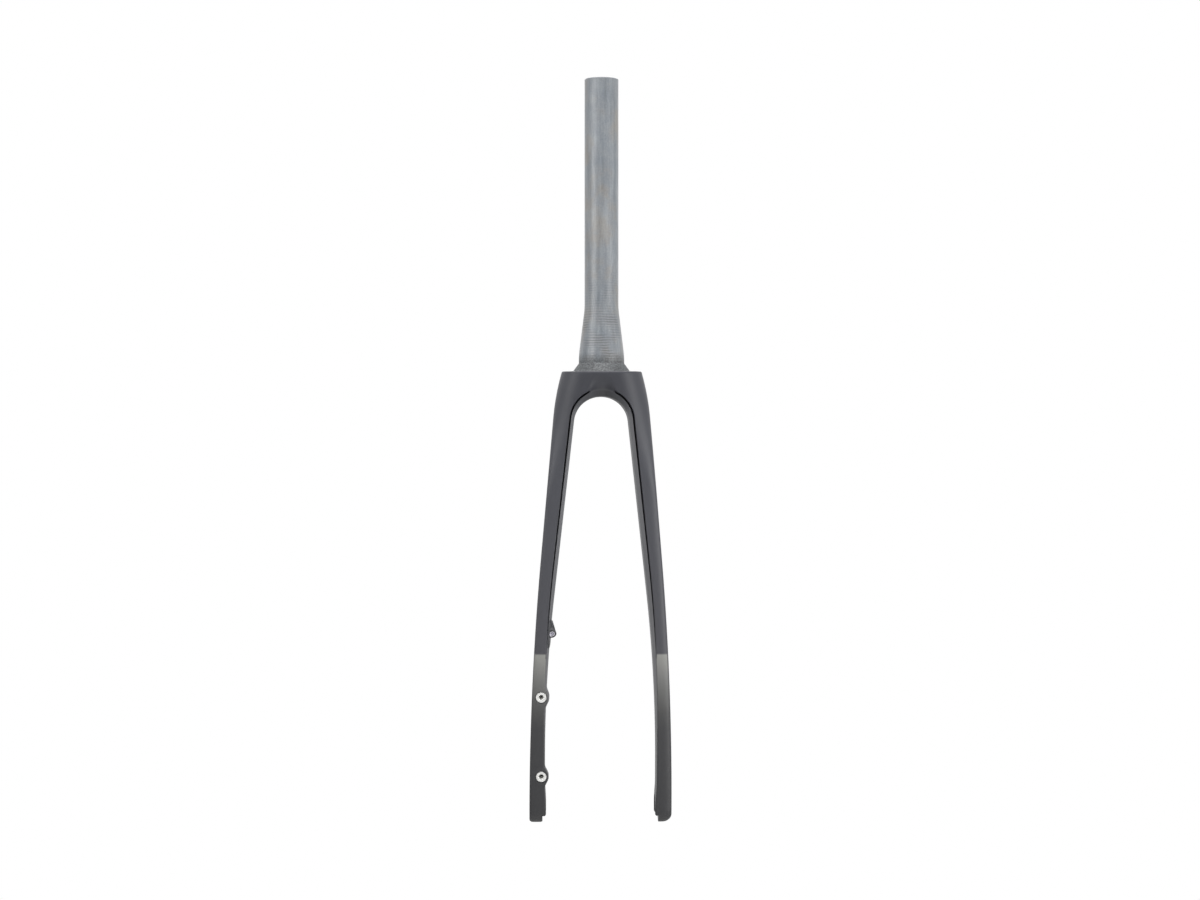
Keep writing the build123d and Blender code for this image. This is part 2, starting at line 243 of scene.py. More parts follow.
def bend(run, reach):
    """0 before a bend, run after it, and (run + reach)^2 / (4 reach) through it."""
    return np.where(run < -reach, 0.0, np.where(run > reach, run, (run + reach) ** 2 / (4 * reach)))


def ease(value):
    """Smooth step 3v^2 - 2v^3 of a value clipped to 0..1."""
    value = np.clip(value, 0, 1)
    return value * value * (3 - 2 * value)


def outer_half(drop):
    """Half width of the fork at a drop below its top: a slant, less the bends of shoulder and foot."""
    shoulder = (SHOULDER_SLOPE - BLADE_SLOPE) * bend(drop - SHOULDER_DROP, SHOULDER_REACH)
    foot = BLADE_SLOPE * bend(drop - FOOT_BEND_DROP, FOOT_BEND_REACH)
    return CROWN_HALF + SHOULDER_SLOPE * drop - shoulder - foot


def gap_edge(radius, centre_drop, foot_half, bend_drop, turn, share):
    """Inner edge as (x, drop): the arch at angles turn, then the leg that leaves it at a tangent.

    The leg is taken at shares of the way from the arch's end to the tip, and bends upright at bend_drop.
    """
    run = bend_drop - centre_drop
    splay = np.arctan2(foot_half, run) - np.arcsin(radius / np.hypot(foot_half, run))
    angle = turn * (np.pi / 2 - splay)
    arch_end = centre_drop - radius * np.sin(splay)
    drop = arch_end + share * (TIP_DROP - arch_end)
    leg = radius * np.cos(splay) + np.tan(splay) * (drop - arch_end - bend(drop - bend_drop, GAP_BEND_REACH))
    arch = np.stack([radius * np.sin(angle), centre_drop - radius * np.cos(angle)], axis=1)
    return np.concatenate([arch, np.stack([leg, drop], axis=1)])


print("half width at shoulder, middle and foot", outer_half(np.array([20.0, 190.0, 374.0])).round(2))

# %% [markdown]
# Crown and blades: stations along the U
# The solid is swept along the U. Level slices all the way up would only graze the top of the arch, so
# at each station a straight line runs from the inner edge to the outer edge: like the spokes of a fan
# over the arch, and level down the blades. Over the crown the outer end runs along the flat top and
# round its corner. The stations crowd together where the dropout ends, so that its round tip stays
# smooth.

# %% Stations of one half
TOP_CORNER, CORNER_TURN, FAN_TURN = 1.2, np.radians(74.5), np.radians(36.7)
ARCH_OUTER_DROP = 41.0
FAN_SHARE, CORNER_SHARE = 0.44, 0.46
corner_start = CROWN_HALF - TOP_CORNER * np.tan(CORNER_TURN / 2)
corner_angle = np.linspace(0, CORNER_TURN, 7)
fan = np.linspace(0, FAN_TURN, 28)
top_edge = np.stack([corner_start * np.tan(fan) / np.tan(fan[-1]), np.zeros_like(fan)], axis=1)
corner_edge = np.stack([
    corner_start + TOP_CORNER * np.sin(corner_angle),
    TOP_CORNER - TOP_CORNER * np.cos(corner_angle),
], axis=1)
side_drop = np.linspace(corner_edge[-1, 1], ARCH_OUTER_DROP, 30)[1:]
tip_angle = np.linspace(0, np.pi / 2, 25)[1:]
blade_drop = np.concatenate([
    np.linspace(ARCH_OUTER_DROP, AXLE_DROP, 290)[1:],
    AXLE_DROP + DROPOUT_RADIUS * np.sin(tip_angle),
])
low_drop = np.concatenate([side_drop, blade_drop])
outer_edge = np.concatenate([top_edge, corner_edge[1:], np.stack([outer_half(low_drop), low_drop], axis=1)])
stations = len(outer_edge)
print("stations in one half", stations)

# %% [markdown]
# Crown and blades: the inner edge
# The inner side of a blade leans: the gap for the wheel is widest at the rear face and narrower in the
# middle of the depth. The lean could be milled off afterwards. Two arches of the same kind, one for
# each depth, let the section slope from the one to the other by itself.

# %% Inner edges of one half
arch_turn = np.concatenate([
    np.linspace(0, FAN_SHARE, len(fan)),
    np.linspace(FAN_SHARE, CORNER_SHARE, len(corner_angle))[1:],
    np.linspace(CORNER_SHARE, 1.0, len(side_drop) + 1)[1:],
])
blade_share = (blade_drop - ARCH_OUTER_DROP) / (TIP_DROP - ARCH_OUTER_DROP)
face_edge = gap_edge(
    radius=26.5, centre_drop=42.0, foot_half=48.2, bend_drop=235.0, turn=arch_turn, share=blade_share,
)
middle_edge = gap_edge(
    radius=23.3, centre_drop=43.8, foot_half=47.8, bend_drop=262.0, turn=arch_turn, share=blade_share,
)
print("gap at the tips", (2 * face_edge[-1, 0]).round(2), "mm at the rear")

# %% [markdown]
# Crown and blades: the depth
# From the side the fork tapers between two straight faces that run tangent into the round dropouts.
# Seen from above, the crown has round corners that run out into the blades. Planes, a cylinder and
# rounded blocks could be joined for this. Both faces are written as a depth over the outline instead,
# so that all of these meet in one formula.

# %% Rear and front faces
HALF_DEPTH, REAR_SLOPE, FRONT_SLOPE = 28.5, 0.16016, 0.08005
CORNER_RADIUS, CORNER_RUN_OUT, CORNER_WIDEST = 22.0, 114.0, 21.85
CORNER_SPREAD, CORNER_SWEEP = 0.20, 0.096


def rounded_off(past):
    """How far an arc of the corner's radius has left its tangent, past the point where it starts."""
    return CORNER_RADIUS - np.sqrt(CORNER_RADIUS**2 - np.clip(past, 0, CORNER_RADIUS) ** 2)


def faces_at(across, drop):
    """Rear and front y: a plane, then the dropout's circle, less the crown's round corners."""
    round_half = np.sqrt(np.clip(DROPOUT_RADIUS**2 - (drop - AXLE_DROP) ** 2, 0, None))
    rear_touch = AXLE_DROP + DROPOUT_RADIUS * np.sin(np.arctan(REAR_SLOPE))
    front_touch = AXLE_DROP - DROPOUT_RADIUS * np.sin(np.arctan(FRONT_SLOPE))
    rear = np.where(drop < rear_touch, REAR_SLOPE * drop - HALF_DEPTH, RAKE - round_half)
    front = np.where(drop < front_touch, FRONT_SLOPE * drop + HALF_DEPTH, RAKE + round_half)
    # Behind, the corner's width shrinks as a parabola; in front it leans off with the blade.
    width = CORNER_WIDEST * np.clip(1 - (drop / CORNER_RUN_OUT) ** 2, 0, 1)
    rear = rear + rounded_off(across - outer_half(drop) + width)
    start = np.maximum(CROWN_HALF - CORNER_RADIUS + CORNER_SPREAD * drop, outer_half(drop) - CORNER_WIDEST)
    front = np.minimum(front, CORNER_SWEEP * drop + HALF_DEPTH - rounded_off(across - start))
    return rear, front


print("faces at the crown", faces_at(np.array([0.0]), np.array([0.0])))

# %% [markdown]
# Crown and blades: lips and swellings
# Each dropout ends in a lip that flares a little towards the wheel and has round corners. On the left,
# the blade also swells round its two brake inserts. They could be separate lumps joined on. As offsets
# of the inner edge they stay part of one smooth surface.

# %% Inner edge with its lip and swellings
BRAKE_ACROSS, BRAKE_DROPS, SWELL_REACH, SWELL_RUN = 51.0, (346.2, 277.08), 10, 8.5
LIP_END, LIP_ROUNDING, LIP_FLARE, LIP_START, LIP_RUN = 381.3, 2.4, 0.9, 350, 20
FLARE_START, FLARE_RUN = 360, 24


def arc(drop, end, radius):
    """How far a round corner has turned in at a drop, when it is radius deep and ends at a given drop."""
    return radius - np.sqrt(radius**2 - np.clip(drop - end + radius, 0, radius) ** 2)


def sideways(shift):
    """Shifts along x as (x, drop) pairs."""
    return np.stack([shift, np.zeros(stations)], axis=1)


def inner_edges(toe_rounding, swell):
    """Inner edge in the middle of the depth, inner edge at the rear face, and the swelling that is in it.

    A swelling is a smooth step up and down in the drop, as high as its size.
    """
    drop = face_edge[:, 1]
    corners = arc(drop, LIP_END, LIP_ROUNDING) + arc(drop, TIP_DROP, toe_rounding)
    middle = middle_edge + sideways(corners - LIP_FLARE * ease((drop - LIP_START) / LIP_RUN))
    flare = (face_edge - middle_edge) * (1 - ease((drop - FLARE_START) / FLARE_RUN))[:, None]
    bumps = sum(
        size * ease((SWELL_REACH - np.abs(drop - place)) / SWELL_RUN)
        for size, place in zip(swell, BRAKE_DROPS)
    )
    swelling = sideways(-bumps)
    return middle, middle + flare + swelling, swelling


print("lip at the axle", inner_edges(1.8, (0.0, 0.0))[0][-25].round(2))

# %% [markdown]
# Crown and blades: edges and crease
# A moulded fork has soft outer edges, and a dark crease where each blade's rear face meets its inner
# side. Over the arch the crease is gone and the edge rolls over softly. Edge rounding and crease are
# two short lists of points with the same length, so the section can fade from one to the other along
# the blade.

# %% Edge points
EDGE_ANGLE = np.linspace(0, np.pi / 2, 7)
EDGE_RADIUS, ARCH_ROLL, ARCH_SPREAD = 1.2, 11.4, 83.6
# Points of the crease, across and into the rear face, from its inner lip over its floor to the face.
CREASE = np.array([(-0.6, 3.6), (-0.6, 9.0), (-0.1, 9.4), (0.5, 9.4), (1.0, 9.0), (1.0, 0.25), (1.25, 0.0)])
CREASE_START, CREASE_END, CREASE_POWER = 50, 245.0, 0.8
# Degrees round the arch where the crease begins and the roll starts to tighten, and their runs.
CREASE_TURN, CREASE_TURN_RUN, ROLL_TURN, ROLL_TURN_RUN = 18, 14, 4, 26


def rounded_edge(radius):
    """Quarter circle across and into a face: radius (1 - cos a), radius (1 - sin a)."""
    return radius * (1 - np.cos(EDGE_ANGLE)), radius * (1 - np.sin(EDGE_ANGLE))


def creased_edge():
    """(1 - fade) rolled + fade crease, where the fade starts beside the arch and dies out down the blade."""
    angle = np.concatenate([arch_turn * ARCH_SPREAD, np.full(len(blade_drop), ARCH_SPREAD)])
    remaining = np.clip((CREASE_END - face_edge[:, 1]) / (CREASE_END - CREASE_START), 0, 1)
    fade = (ease((angle - CREASE_TURN) / CREASE_TURN_RUN) * remaining**CREASE_POWER)[:, None]
    roll = ARCH_ROLL * (1 - ease((angle - ROLL_TURN) / ROLL_TURN_RUN))
    rolled = rounded_edge((EDGE_RADIUS + roll)[:, None])
    return tuple((1 - fade) * rolled[i] + fade * CREASE[:, i] for i in (0, 1))


print("edge points at each station", creased_edge()[0].shape)

# %% [markdown]
# Crown and blades: skin of a face
# Each face is a row of points at each station: the inner edge, a straight run and the outer edge. The
# points are first laid out flat, as across and drop, with how far each lies below the face. The depth
# comes last, so that the same layout serves the rear and the front.

# %% Face points
RUN_POINTS, EDGE_LIMIT, THIN_HALF = 14, 0.7, 6.5


def skin(start, outer, edge_points, rounding, spread):
    """Points of a face as (x, drop) and how far each lies below it, from the start to the outer edge."""
    length = np.linalg.norm(outer - start, axis=1)[:, None]
    near, near_deep = edge_points
    reach = np.minimum(spread * rounding, EDGE_LIMIT * (length - near[:, -1:]))
    far = length - reach * (1 - np.cos(EDGE_ANGLE))
    far_deep = rounding * (1 - np.sin(EDGE_ANGLE))
    share = np.linspace(0, 1, RUN_POINTS)[None, 1:-1]
    run = near[:, -1:] + share * (far[:, -1:] - near[:, -1:])
    across = np.concatenate([near, run, far[:, ::-1]], axis=1)
    deep = np.concatenate([near_deep, np.zeros_like(run), far_deep[:, ::-1]], axis=1)
    flat = start[:, None, :] + across[..., None] * ((outer - start) / length)[:, None, :]
    return flat, deep


def face_depth(flat, deep, side):
    """y of a face's points: middle + side half (1 - deep / half), with the edges kept thin near the tip."""
    rear, front = faces_at(flat[..., 0], flat[..., 1])
    half = (front - rear) / 2
    return (front + rear) / 2 + side * half * (1 - deep / np.maximum(half, THIN_HALF))


print("points across a face", 2 * len(EDGE_ANGLE) + RUN_POINTS - 2)

# %% [markdown]
# Crown and blades: the section
# One half of the fork is a stack of closed loops: rear face, outer side, front face, inner side. The
# brake side has tighter edges and a low collar round each insert; the other side is softer and its tip
# rounder. A subdivided cage could give such a form, but its edges would drift with each change, and
# loops that are worked out from the outline keep every edge where it belongs.

# %% Section loops of both halves
TOP_EDGE, EDGE_START, EDGE_RUN, EDGE_WIDER = 1.9, 20, 120, 2.2
COLLAR_HEIGHT, COLLAR_RADIUS, COLLAR_RUN = 0.16, 7.9, 1.5
SWELL_DEPTH, SWELL_FADE, OUTER_STEPS, INNER_STEPS = 9, 10, 10, 20


def half_loops(side_rounding, tip_rounding, toe_rounding, swell):
    """Section loops of one half, as (stations, points, 3), on the +X side of the fork."""
    drop = outer_edge[:, 1]
    outer = outer_edge - sideways(arc(drop, TIP_DROP, tip_rounding))
    middle, face, swelling = inner_edges(toe_rounding, swell)
    grown = ease((drop - EDGE_START) / EDGE_RUN)
    rounding = (TOP_EDGE + (side_rounding - TOP_EDGE) * grown)[:, None]
    spread = (1 + EDGE_WIDER * grown)[:, None]
    rear_flat, rear_deep = skin(face, outer, creased_edge(), rounding, spread)
    small_edge = rounded_edge(np.full((stations, 1), EDGE_RADIUS))
    front_flat, front_deep = skin(middle, outer, small_edge, rounding, spread)
    rear_y, front_y = face_depth(rear_flat, rear_deep, -1), face_depth(front_flat, front_deep, 1)
    for size, place in zip(swell, BRAKE_DROPS):
        from_insert = np.hypot(rear_flat[..., 0] - BRAKE_ACROSS, rear_flat[..., 1] - place)
        rear_y = rear_y - COLLAR_HEIGHT * size * ease((COLLAR_RADIUS - from_insert) / COLLAR_RUN)

    step = np.linspace(0, 1, OUTER_STEPS)[None, 1:-1]
    outer_y = rear_y[:, -1:] + step * (front_y[:, -1:] - rear_y[:, -1:])
    outer_flat = np.repeat(outer[:, None, :], step.shape[1], axis=1)
    step = np.linspace(0, 1, INNER_STEPS)[None, 1:-1]
    inner_y = front_y[:, :1] + step * (rear_y[:, :1] - front_y[:, :1])
    # The inner side leans from the rear edge to the middle edge over a third of the depth.
    behind = inner_y - rear_y[:, :1]
    into = behind / np.maximum(front_y[:, :1] - rear_y[:, :1], 1e-6)
    start = rear_flat[:, :1] - middle[:, None, :] - swelling[:, None, :]
    inner_flat = middle[:, None, :] + start * np.clip(1 - 3 * into, 0, 1)[..., None]
    swollen = 1 - ease((behind - SWELL_DEPTH) / SWELL_FADE)
    inner_flat = inner_flat + swelling[:, None, :] * swollen[..., None]

    flat = np.concatenate([rear_flat, outer_flat, front_flat[:, ::-1], inner_flat], axis=1)
    deep = np.concatenate([rear_y, outer_y, front_y[:, ::-1], inner_y], axis=1)
    return np.stack([flat[..., 0], deep, -flat[..., 1]], axis=-1)


right_half = half_loops(side_rounding=3.4, tip_rounding=8.0, toe_rounding=1.8, swell=(0.0, 0.0))
left_half = half_loops(side_rounding=2.2, tip_rounding=3.2, toe_rounding=3.5, swell=(3.2, 2.7)) * (-1, 1, 1)
loops = np.concatenate([left_half[:0:-1], right_half])
blades = grid_object("crown_and_blades_paint", loops * MM, close_rows=False, close_columns=True)
print("section loops", loops.shape, "open edges", clean(blades))

# %% [markdown]
# Crown and blades: the tools
# The moulding is drilled and milled after it leaves the mould: a socket for the steerer, the axle hole
# with its seats, a pocket for the hub in each dropout, and holes for the inserts and the hose. Each
# tool is a turned or straight-sided solid, made in the place where it cuts.

# %% Drills and cutters
def straight(outline, middle, ends, centre, along, across, normal):
    """An outline (a, b) moved along its normal, with a point in the middle of each end.

    A point lies at centre + a along + b across + end normal.
    """
    outline = np.array(outline, dtype=float)
    pole = np.repeat(np.array([middle], dtype=float), len(outline), axis=0)
    rows = np.stack([pole, outline, outline, pole])
    levels = np.array([ends[0], ends[0], ends[1], ends[1]])[:, None, None]
    along, across, normal = (np.array(axis, dtype=float) for axis in (along, across, normal))
    return np.array(centre) + rows[..., :1] * along + rows[..., 1:] * across + levels * normal


def bore(radius, low, high):
    """Profile of a plain round tool between two heights."""
    return [(0, low), (radius, low), (radius, high), (0, high)]


AXLE = (0, RAKE, -AXLE_DROP)
BRAKE_AXIS = np.array((0, -0.9874, -0.15822))
BRAKE_FACES = {
    "brake_insert_lower": np.array((-51.0, 26.9744, -346.2)),
    "brake_insert_upper": np.array((-51.0, 15.8991, -277.0817)),
}
HOSE_EXIT, EXIT_AXIS = (-41.987, 15.837, -223.006), (0.269, -0.3786, -0.8856)
EXIT_START = (0, 0.9195, -0.3931)
HOSE_ENTRY, ENTRY_AXIS = (-32.0, 32.725, -58.0), (0.1254, 0.6043, 0.7868)
ENTRY_START = (0.9921, -0.0993, -0.0818)
SOCKET_RADIUS, AXLE_RADIUS, AXLE_HEAD_RADIUS, AXLE_INSERT_RADIUS = 17.05, 6.05, 10.0, 9.05
HOSE_RADIUS, HUB_FACE, HUB_RADIUS, STEP = 2.8, 50, 10.5, -6.9
half_turn = np.linspace(0, np.pi, 33)
pocket = [*np.stack([HUB_RADIUS * np.cos(half_turn), HUB_RADIUS * np.sin(half_turn)], axis=1)]
pocket += [(-HUB_RADIUS, STEP), (-20, STEP), (-20, -30), (20, -30), (20, STEP), (HUB_RADIUS, STEP)]
seat = [(0, -12), (4.65, -12), (4.65, -1), (5.0, -1), (5.0, 6), (0, 6)]
tools = [
    turned(bore(SOCKET_RADIUS, -SPIGOT_DEPTH, 5), 96, (0, 0, 0), UP, RIGHT),
    turned(bore(AXLE_RADIUS, -70, 70), 64, AXLE, RIGHT, FORWARD),
    turned(bore(AXLE_HEAD_RADIUS, -66, -60.4), 64, AXLE, RIGHT, FORWARD),
    turned(bore(AXLE_INSERT_RADIUS, 45, 59.6), 64, AXLE, RIGHT, FORWARD),
    straight(pocket, (0, -12), (42, HUB_FACE), AXLE, FORWARD, UP, RIGHT),
    straight(pocket, (0, -12), (-HUB_FACE, -42), AXLE, FORWARD, UP, RIGHT),
    turned(bore(HOSE_RADIUS, -30, 9), 48, HOSE_EXIT, EXIT_AXIS, EXIT_START),
    turned(bore(HOSE_RADIUS, -30, 9), 48, HOSE_ENTRY, ENTRY_AXIS, ENTRY_START),
]
tools += [turned(seat, 64, face, BRAKE_AXIS, RIGHT) for face in BRAKE_FACES.values()]
print("tools", len(tools))

# %% [markdown]
# Crown and blades: cutting
# Cutting one hole after another rounds off the mesh each time, and thin slivers can spoil the next cut.
# One exact Boolean takes all the tools out of the swept surface together, and leaves it closed.

# %% Cut the holes
tool_box = bpy.data.collections.new("tool_box")
cutters = [grid_object("tool", points * MM, close_rows=False, close_columns=True) for points in tools]
print("open edges of the tools", [clean(cutter) for cutter in cutters])
for cutter in cutters:
    tool_box.objects.link(cutter)
cut = blades.modifiers.new("cut", "BOOLEAN")
cut.operation, cut.solver = "DIFFERENCE", "EXACT"
cut.operand_type, cut.collection = "COLLECTION", tool_box
shaped = bpy.data.meshes.new_from_object(blades.evaluated_get(bpy.context.evaluated_depsgraph_get()))
blades.modifiers.clear()
blades.data = shaped
for cutter in cutters:
    bpy.data.objects.remove(cutter)
bpy.data.collections.remove(tool_box)
finish_piece(blades, smooth_angle=32, node="crown_and_blades")

# %% [markdown]
# Threaded inserts
# The brake bolts and the axle screw into aluminium inserts that are bonded in the carbon. A thread
# could be a picture on a plain bore. It is a groove that climbs one pitch in each turn, so here the
# turned profile's radius also depends on the angle, and the groove is real.

# %% Thread functions
BORE_ROWS = 150


def threaded_profile(outer, mouth, minor, top_bevel, depth, floor):
    """Half section of an insert as (radius, height) from its face, its bore finely divided."""
    heights = np.linspace(-mouth[1], -depth, BORE_ROWS)
    head = [(outer, -floor), (outer, -top_bevel), (outer - top_bevel, 0), (mouth[0], 0)]
    return np.concatenate([head, np.stack([np.full_like(heights, minor), heights], axis=1)])


def cut_thread(points, profile, minor, centre, axis, pitch, groove):
    """Moves bore points out by groove (1 - |2 frac(height/pitch - angle/2pi) - 1|), which climbs."""
    axis = np.array(axis) / np.linalg.norm(axis)
    columns = points.shape[1]
    turn = np.arange(columns) / columns
    phase = (profile[:, 1, None] / pitch - turn[None, :]) % 1.0
    ends = np.clip((profile[:, 1, None] - profile[:, 1].min()) / pitch, 0, 1)
    lift = groove * (1 - np.abs(2 * phase - 1)) * ends * np.isclose(profile[:, 0, None], minor)
    heights = (points - np.array(centre)) @ axis
    spoke = points - np.array(centre) - heights[..., None] * axis
    spoke /= np.linalg.norm(spoke, axis=-1, keepdims=True).clip(1e-9)
    return points + spoke * lift[..., None]


print("rows along a bore", BORE_ROWS)

# %% [markdown]
# Threaded inserts: turning them
# Each brake insert is a blind bush, closed behind its thread, so that no bolt reaches the hollow blade.
# The axle's insert is open at both ends. Both come from the same profile function, with other sizes.

# %% Inserts
BRAKE_MINOR, BRAKE_DEPTH, BRAKE_FLOOR, AXLE_MINOR, AXLE_INSERT_DEPTH = 2.1, 10.5, 12.0, 5.45, 9.6
brake_profile = threaded_profile(
    outer=4.6, mouth=(2.35, 0.25), minor=BRAKE_MINOR, top_bevel=0.25, depth=BRAKE_DEPTH, floor=BRAKE_FLOOR,
)
brake_profile = np.concatenate([[(0, -BRAKE_FLOOR)], brake_profile, [(0, -BRAKE_DEPTH)]])
inserts = []
for node, face in BRAKE_FACES.items():
    points = turned(brake_profile, 64, face, BRAKE_AXIS, RIGHT)
    points = cut_thread(points, brake_profile, BRAKE_MINOR, face, BRAKE_AXIS, pitch=0.8, groove=0.4)
    piece = grid_object(node + "_thread", points * MM, close_rows=False, close_columns=True)
    inserts.append(finish_piece(piece, smooth_angle=35, node=node))

axle_face, LEFT = np.array((50.0, 45.0, -374.0)), (-1, 0, 0)
axle_profile = threaded_profile(
    outer=9.0, mouth=(5.75, 0.3), minor=AXLE_MINOR, top_bevel=0.3,
    depth=AXLE_INSERT_DEPTH, floor=AXLE_INSERT_DEPTH,
)
axle_points = turned(axle_profile, 96, axle_face, LEFT, FORWARD)
axle_points = cut_thread(axle_points, axle_profile, AXLE_MINOR, axle_face, LEFT, pitch=1.5, groove=0.5)
axle_insert = grid_object("axle_insert_thread", axle_points * MM, close_rows=True, close_columns=True)
inserts.append(finish_piece(axle_insert, smooth_angle=35, node="axle_thread_insert"))

# %% [markdown]
# Hose guide and grommet
# The brake hose leaves the blade through a small moulded guide, and goes in through a grommet at the
# crown. They could be swept again from scratch, but their solids are right as they are, so each gets a
# merged copy for smooth shading.

# %% Guide and grommet
guides = []
for node in ("hose_exit_guide", "hose_entry_grommet"):
    piece = bpy.data.objects.new(node + "_moulded", nodes[node].data.copy())
    bpy.context.scene.collection.objects.link(piece)
    guides.append(finish_piece(piece, smooth_angle=40, node=node))

# %% [markdown]
# Hose liner, a painted reflection
# A pale tube lies in the passage, and its end fills the guide's slanted mouth. Its pale colour is
# painted light: it stands in for the bright reflection inside the mouth. A plain tube would stick out
# of a slanted mouth or stop short of it. Here the end is cut by a plane: each point of the end slides
# along the axis until it lies on it.

# %% Liner in the mouth
MOUTH_NORMAL = np.array(EXIT_AXIS) + (0, -0.65, 0)
LINER_BOTTOM, LINER_SINK = -12, 0.1
liner_profile = np.array([(0, LINER_BOTTOM), (2.7, LINER_BOTTOM), (2.7, 0), (2.0, 0), (2.0, -3), (0, -3)])


def slanted(points, profile, centre, axis, normal, sink):
    """Slides the points above the bottom along the axis by -(point . normal + sink) / (axis . normal)."""
    axis, normal = np.array(axis) / np.linalg.norm(axis), normal / np.linalg.norm(normal)
    slide = -((points - np.array(centre)) @ normal + sink) / (axis @ normal)
    moved = (slide + profile[:, 1, None])[..., None] * axis
    return points + np.where(profile[:, 1, None, None] > LINER_BOTTOM, moved, 0)


liner_points = turned(liner_profile, 48, HOSE_EXIT, EXIT_AXIS, EXIT_START)
liner_points = slanted(liner_points, liner_profile, HOSE_EXIT, EXIT_AXIS, MOUTH_NORMAL, LINER_SINK)
liner = grid_object("hose_liner_painted_reflection", liner_points * MM, close_rows=False, close_columns=True)
finish_piece(liner, smooth_angle=40)

# %% [markdown]
# Raw moulded carbon: its patterns
# The steerer is left bare, as it comes from the mould: resin over carbon, squeezed by a wound tape and
# lightly sanded. A photograph could be mapped on it, but a few noises with real sizes follow the
# surface from every side. The scale of a noise is one over its size in metres, so 250 is a size of 4
# mm.

# %% Raw carbon patterns
raw_carbon, tree, output = new_material("raw_carbon_tape_wound")
place = add_node(tree, "ShaderNodeTexCoord").outputs["Object"]
height = add_node(tree, "ShaderNodeSeparateXYZ", {"Vector": place}).outputs["Z"]
# Streaks about 4 mm wide and 40 mm long, the grain of resin drawn up the tube, broken up by finer ones.
drawn = add_node(tree, "ShaderNodeMapping", {"Vector": place, "Scale": (1.0, 1.0, 0.10)}).outputs["Vector"]
streaks = add_node(
    tree, "ShaderNodeTexNoise", {"Vector": drawn, "Scale": 250.0, "Detail": 6.0, "Roughness": 0.68},
)
# Clouds of about 24 mm, where the resin lies thicker.
clouds = add_node(
    tree, "ShaderNodeTexNoise", {"Vector": place, "Scale": 42.0, "Detail": 3.0, "Roughness": 0.6},
)
# Tape rings 2.2 mm apart, in patches of about 13 mm, which die out up the tube.
rings = add_node(tree, "ShaderNodeTexWave", {
    "Vector": place, "Scale": 0.31416 / 0.0022, "Distortion": 3.5, "Detail": 2.0, "Detail Scale": 0.5,
}, bands_direction="Z")
low = add_node(tree, "ShaderNodeMapRange", {"Value": height, "From Min": 0.090, "From Max": 0.040})
patches = add_node(tree, "ShaderNodeTexNoise", {"Vector": place, "Scale": 75.0, "Detail": 1.0})
patchy = add_node(
    tree, "ShaderNodeMapRange",
    {"Value": patches.outputs["Fac"], "From Min": 0.44, "From Max": 0.66, "To Min": 0.05, "To Max": 0.65},
)
ring_depth = add_node(tree, "ShaderNodeMath", {0: low.outputs[0], 1: patchy.outputs[0]}, operation="MULTIPLY")
# Grit of about 1.2 mm, coarser than the real grit so that it shows, left by sanding round the bearing seat.
grit = add_node(tree, "ShaderNodeTexNoise", {"Vector": place, "Scale": 800.0, "Detail": 2.0})
base = add_node(tree, "ShaderNodeMapRange", {"Value": height, "From Min": 0.016, "From Max": 0.006})
print("raw carbon patterns", len(tree.nodes))

# %% [markdown]
# Raw moulded carbon: its colours and shine
# To the eye the tube is a mid grey that is streaked and cloudy, cool where the resin is thin and warm
# where it is thick, with darker sanded grit round the seat. Each pattern gets a ramp of greys, and the
# ramps are mixed by where on the tube they belong. Bare resin shines softly, and the sanded base is
# duller.

# %% Raw carbon material
upper_tone = add_node(
    tree, "ShaderNodeValToRGB", {"Fac": streaks.outputs["Fac"]},
    stops=[(0.30, "6C7177"), (0.50, "8B9096"), (0.68, "AFB4BA")],
)
cloud_tone = add_node(
    tree, "ShaderNodeValToRGB", {"Fac": clouds.outputs["Fac"]},
    stops=[(0.36, "7D858C"), (0.50, "8F9397"), (0.64, "989084")],
)
ring_tone = add_node(
    tree, "ShaderNodeValToRGB", {"Fac": rings.outputs["Fac"]}, stops=[(0.15, "606163"), (0.85, "929395")],
)
grit_tone = add_node(
    tree, "ShaderNodeValToRGB", {"Fac": grit.outputs["Fac"]}, stops=[(0.38, "3E4042"), (0.62, "686B6D")],
)
tone = add_node(
    tree, "ShaderNodeMixRGB", {"Fac": 0.5, "Color1": upper_tone.outputs[0], "Color2": cloud_tone.outputs[0]},
).outputs[0]
tone = add_node(
    tree, "ShaderNodeMixRGB", {"Fac": ring_depth.outputs[0], "Color1": tone, "Color2": ring_tone.outputs[0]},
).outputs[0]
tone = add_node(
    tree, "ShaderNodeMixRGB", {"Fac": base.outputs[0], "Color1": tone, "Color2": grit_tone.outputs[0]},
).outputs[0]
# The same fine grain speckles the whole tube, where the tape's weave shows in the resin.
speckle = add_node(tree, "ShaderNodeMapRange", {"Value": grit.outputs["Fac"], "To Min": 0.80, "To Max": 1.20})
tone = add_node(
    tree, "ShaderNodeVectorMath", {0: tone, "Scale": speckle.outputs[0]}, operation="SCALE",
).outputs[0]
relief = add_node(
    tree, "ShaderNodeBump", {"Height": streaks.outputs["Fac"], "Strength": 0.12, "Distance": 0.0004},
).outputs["Normal"]
gloss = add_node(tree, "ShaderNodeMapRange", {"Value": base.outputs[0], "To Min": 0.32, "To Max": 0.60})
shader = add_node(
    tree, "ShaderNodeBsdfPrincipled",
    {"Base Color": tone, "Roughness": gloss.outputs[0], "Specular IOR Level": 0.6, "Normal": relief},
)
tree.links.new(shader.outputs["BSDF"], output.inputs["Surface"])
dress([steerer], raw_carbon)

# %% [markdown]
# Satin paint with a fading panel: its colours
# The crown and blades wear a satin slate paint. Below a masked line the rear faces carry a warm
# metallic grey that was sprayed thinner and thinner towards the dropouts. The panel could be a decal; a
# ramp over the height and a mask from the surface's own direction keep it on the flat rear face, with
# the dark paint on its rounded edges.

